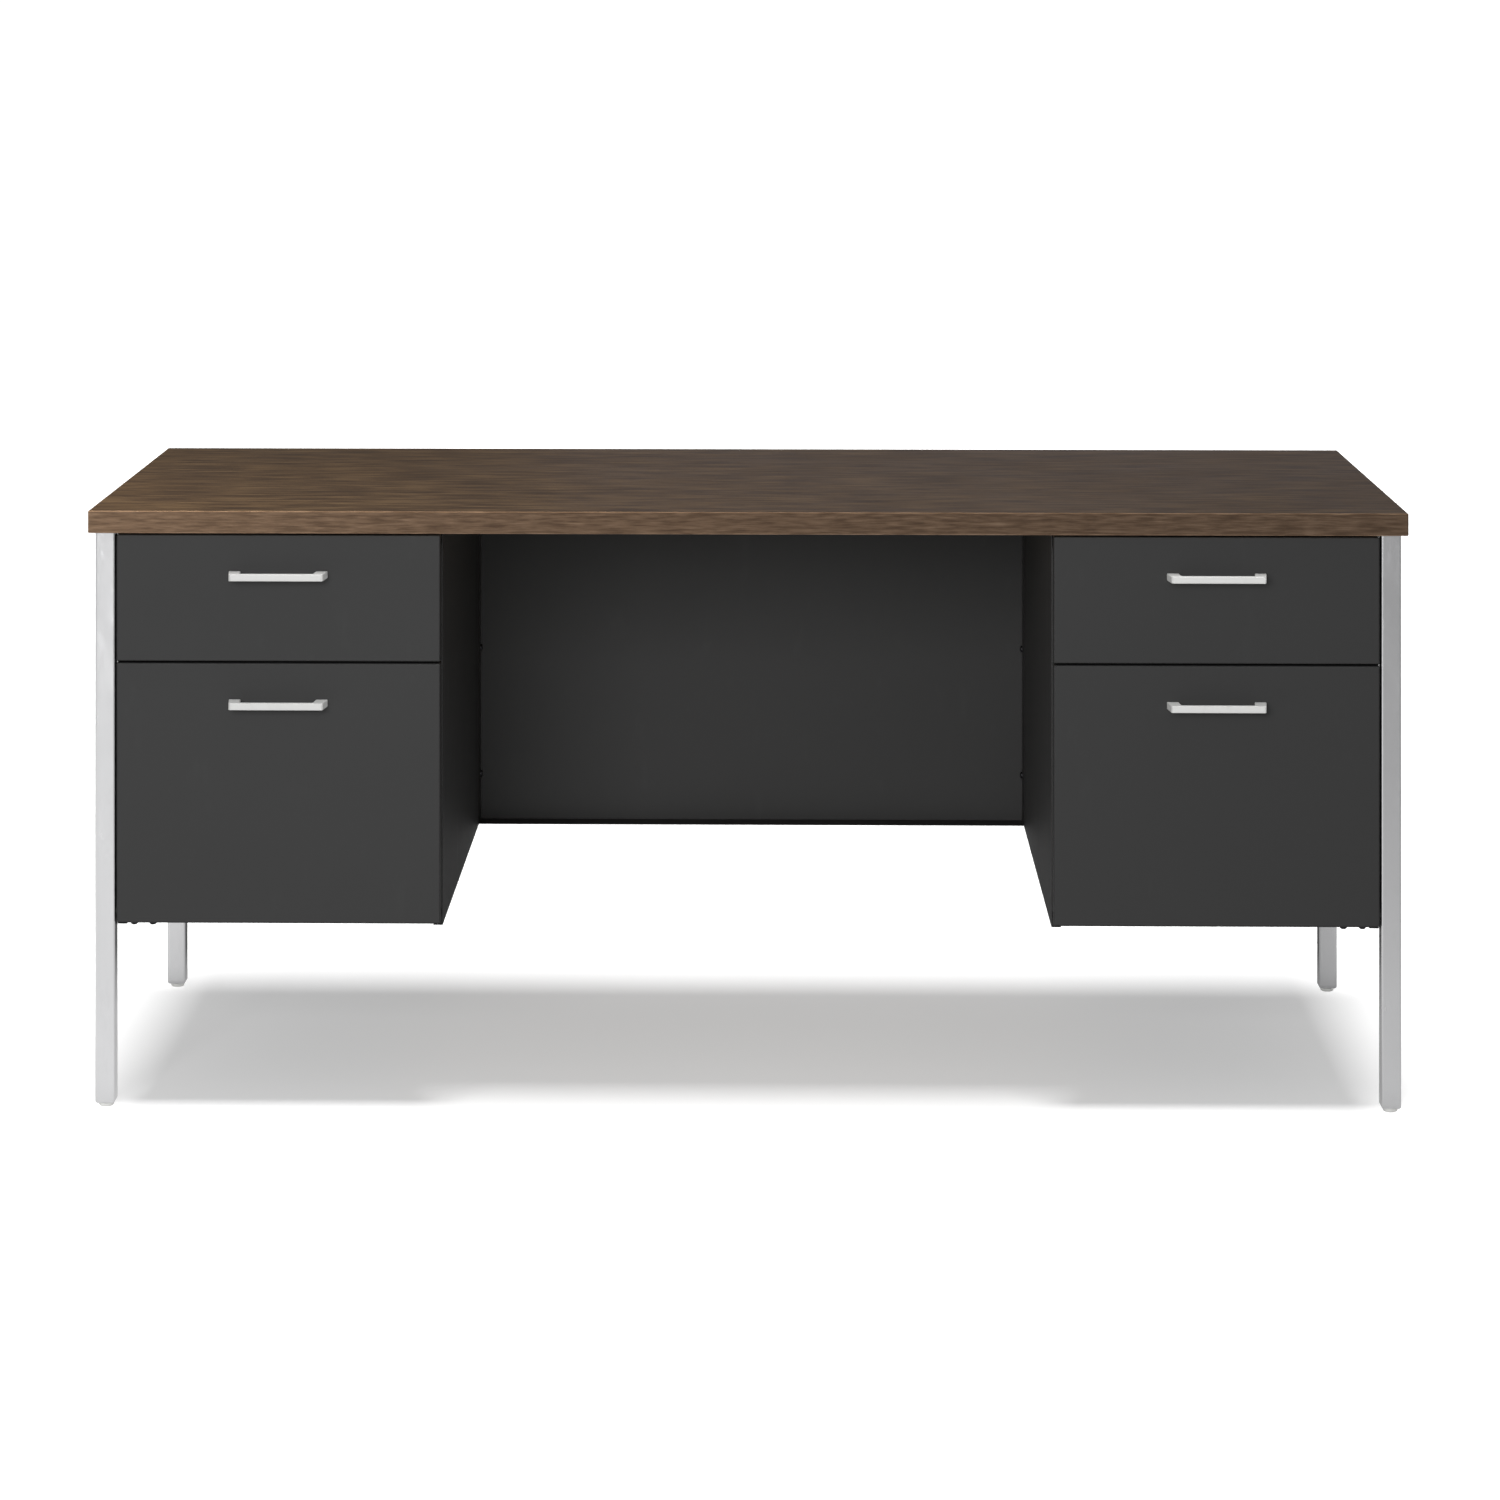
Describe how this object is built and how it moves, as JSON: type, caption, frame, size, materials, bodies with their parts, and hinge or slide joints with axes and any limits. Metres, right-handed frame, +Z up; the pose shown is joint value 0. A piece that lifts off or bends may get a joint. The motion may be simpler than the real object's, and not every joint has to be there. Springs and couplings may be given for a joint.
{
  "type": "teacher desk",
  "caption": "Double-pedestal steel teacher desk: wood-grain top on square chrome legs, a box drawer over a file drawer at each side, bar handles and a modesty panel.",
  "frame": {"origin": "on the floor under the middle of the overall box, drawer handles included", "axes": "+X to the right of a person facing the drawers, -Y is the drawer side, +Z up"},
  "size_m": [1.6764, 0.784, 0.762],
  "materials": {
    "walnut_laminate": "matt wood-grain laminate",
    "walnut_edge_band": "matt wood-grain edge band",
    "particleboard": "raw chipboard",
    "chrome": "bright plated",
    "charcoal_steel": "satin powder coat",
    "satin_nickel": "satin brushed",
    "zinc_steel": "zinc plated",
    "black_steel": "black oxide",
    "rubber": "soft matt",
    "nylon": "moulded"
  },
  "bodies": {
    "frame": {"desktop_core": "particleboard", "desktop_laminate": "walnut_laminate", "edge_bands": "walnut_edge_band", "leg_front_left": "chrome", "leg_front_right": "chrome", "leg_rear_left": "chrome", "leg_rear_right": "chrome", "leg_end_caps": "chrome", "left_pedestal_outer_side": "charcoal_steel", "left_pedestal_inner_side": "charcoal_steel", "left_pedestal_back": "charcoal_steel", "left_pedestal_rails": "charcoal_steel", "right_pedestal_outer_side": "charcoal_steel", "right_pedestal_inner_side": "charcoal_steel", "right_pedestal_back": "charcoal_steel", "right_pedestal_rails": "charcoal_steel", "modesty_panel": "charcoal_steel", "frame_bolts": "black_steel", "top_screws": "zinc_steel", "drawer_bumpers": "rubber", "left_box_slide_case_members": "zinc_steel", "left_file_slide_case_members": "zinc_steel", "right_box_slide_case_members": "zinc_steel", "right_file_slide_case_members": "zinc_steel"},
    "left_box_drawer": {"left_box_drawer_front": "charcoal_steel", "left_box_drawer_body": "charcoal_steel", "left_box_handle": "satin_nickel", "left_box_handle_screws": "zinc_steel", "left_box_slide_drawer_members": "zinc_steel"},
    "left_file_drawer": {"left_file_drawer_front": "charcoal_steel", "left_file_drawer_body": "charcoal_steel", "left_file_handle": "satin_nickel", "left_file_handle_screws": "zinc_steel", "left_file_hang_rails": "zinc_steel", "left_file_slide_drawer_members": "zinc_steel"},
    "left_box_front_rollers": {"left_box_front_rollers": "nylon"},
    "left_box_rear_rollers": {"left_box_rear_rollers": "nylon"},
    "left_file_slide_middle": {"left_file_slide_middle_members": "zinc_steel"},
    "left_file_outer_cages": {"left_file_outer_ball_cages": "zinc_steel"},
    "left_file_inner_cages": {"left_file_inner_ball_cages": "zinc_steel"},
    "right_box_drawer": {"right_box_drawer_front": "charcoal_steel", "right_box_drawer_body": "charcoal_steel", "right_box_handle": "satin_nickel", "right_box_handle_screws": "zinc_steel", "right_box_slide_drawer_members": "zinc_steel"},
    "right_file_drawer": {"right_file_drawer_front": "charcoal_steel", "right_file_drawer_body": "charcoal_steel", "right_file_handle": "satin_nickel", "right_file_handle_screws": "zinc_steel", "right_file_hang_rails": "zinc_steel", "right_file_slide_drawer_members": "zinc_steel"},
    "right_box_front_rollers": {"right_box_front_rollers": "nylon"},
    "right_box_rear_rollers": {"right_box_rear_rollers": "nylon"},
    "right_file_slide_middle": {"right_file_slide_middle_members": "zinc_steel"},
    "right_file_outer_cages": {"right_file_outer_ball_cages": "zinc_steel"},
    "right_file_inner_cages": {"right_file_inner_ball_cages": "zinc_steel"},
    "glide_front_left": {"glide_front_left": "nylon"},
    "glide_front_right": {"glide_front_right": "nylon"},
    "glide_rear_left": {"glide_rear_left": "nylon"},
    "glide_rear_right": {"glide_rear_right": "nylon"}
  },
  "joints": [
    {"name": "left_box_drawer_slide", "type": "slide", "parent": "frame", "child": "left_box_drawer", "axis": [0, -1, 0], "range_m": [0, 0.44]},
    {"name": "left_file_drawer_slide", "type": "slide", "parent": "frame", "child": "left_file_drawer", "axis": [0, -1, 0], "range_m": [0, 0.6]},
    {"name": "left_file_slide_middle_travel", "type": "slide", "parent": "frame", "child": "left_file_slide_middle", "axis": [0, -1, 0], "range_m": [0, 0.3]},
    {"name": "left_file_outer_cages_travel", "type": "slide", "parent": "frame", "child": "left_file_outer_cages", "axis": [0, -1, 0], "range_m": [0, 0.15]},
    {"name": "left_file_inner_cages_travel", "type": "slide", "parent": "frame", "child": "left_file_inner_cages", "axis": [0, -1, 0], "range_m": [0, 0.45]},
    {"name": "left_box_front_roller_spin", "type": "hinge", "parent": "frame", "child": "left_box_front_rollers", "pos_m": [-0.5964, -0.314, 0.60525], "axis": [1, 0, 0], "range_deg": [0, 2300]},
    {"name": "left_box_rear_roller_spin", "type": "hinge", "parent": "left_box_drawer", "child": "left_box_rear_rollers", "pos_m": [-0.5964, 0.256, 0.60525], "axis": [1, 0, 0], "range_deg": [0, 2300]},
    {"name": "right_box_drawer_slide", "type": "slide", "parent": "frame", "child": "right_box_drawer", "axis": [0, -1, 0], "range_m": [0, 0.44]},
    {"name": "right_file_drawer_slide", "type": "slide", "parent": "frame", "child": "right_file_drawer", "axis": [0, -1, 0], "range_m": [0, 0.6]},
    {"name": "right_file_slide_middle_travel", "type": "slide", "parent": "frame", "child": "right_file_slide_middle", "axis": [0, -1, 0], "range_m": [0, 0.3]},
    {"name": "right_file_outer_cages_travel", "type": "slide", "parent": "frame", "child": "right_file_outer_cages", "axis": [0, -1, 0], "range_m": [0, 0.15]},
    {"name": "right_file_inner_cages_travel", "type": "slide", "parent": "frame", "child": "right_file_inner_cages", "axis": [0, -1, 0], "range_m": [0, 0.45]},
    {"name": "right_box_front_roller_spin", "type": "hinge", "parent": "frame", "child": "right_box_front_rollers", "pos_m": [0.5964, -0.314, 0.60525], "axis": [1, 0, 0], "range_deg": [0, 2300]},
    {"name": "right_box_rear_roller_spin", "type": "hinge", "parent": "right_box_drawer", "child": "right_box_rear_rollers", "pos_m": [0.5964, 0.256, 0.60525], "axis": [1, 0, 0], "range_deg": [0, 2300]},
    {"name": "glide_front_left_height", "type": "slide", "parent": "frame", "child": "glide_front_left", "axis": [0, 0, -1], "range_m": [0, 0.01]},
    {"name": "glide_front_right_height", "type": "slide", "parent": "frame", "child": "glide_front_right", "axis": [0, 0, -1], "range_m": [0, 0.01]},
    {"name": "glide_rear_left_height", "type": "slide", "parent": "frame", "child": "glide_rear_left", "axis": [0, 0, -1], "range_m": [0, 0.01]},
    {"name": "glide_rear_right_height", "type": "slide", "parent": "frame", "child": "glide_rear_right", "axis": [0, 0, -1], "range_m": [0, 0.01]}
  ],
  "couplings": [
    {"joint": "left_file_slide_middle_travel", "follows": "left_file_drawer_slide", "ratio": 0.5},
    {"joint": "left_file_outer_cages_travel", "follows": "left_file_drawer_slide", "ratio": 0.25},
    {"joint": "left_file_inner_cages_travel", "follows": "left_file_drawer_slide", "ratio": 0.75},
    {"joint": "left_box_front_roller_spin", "follows": "left_box_drawer_slide", "rad_per_m": 90.909},
    {"joint": "left_box_rear_roller_spin", "follows": "left_box_drawer_slide", "rad_per_m": 90.909},
    {"joint": "right_file_slide_middle_travel", "follows": "right_file_drawer_slide", "ratio": 0.5},
    {"joint": "right_file_outer_cages_travel", "follows": "right_file_drawer_slide", "ratio": 0.25},
    {"joint": "right_file_inner_cages_travel", "follows": "right_file_drawer_slide", "ratio": 0.75},
    {"joint": "right_box_front_roller_spin", "follows": "right_box_drawer_slide", "rad_per_m": 90.909},
    {"joint": "right_box_rear_roller_spin", "follows": "right_box_drawer_slide", "rad_per_m": 90.909}
  ]
}
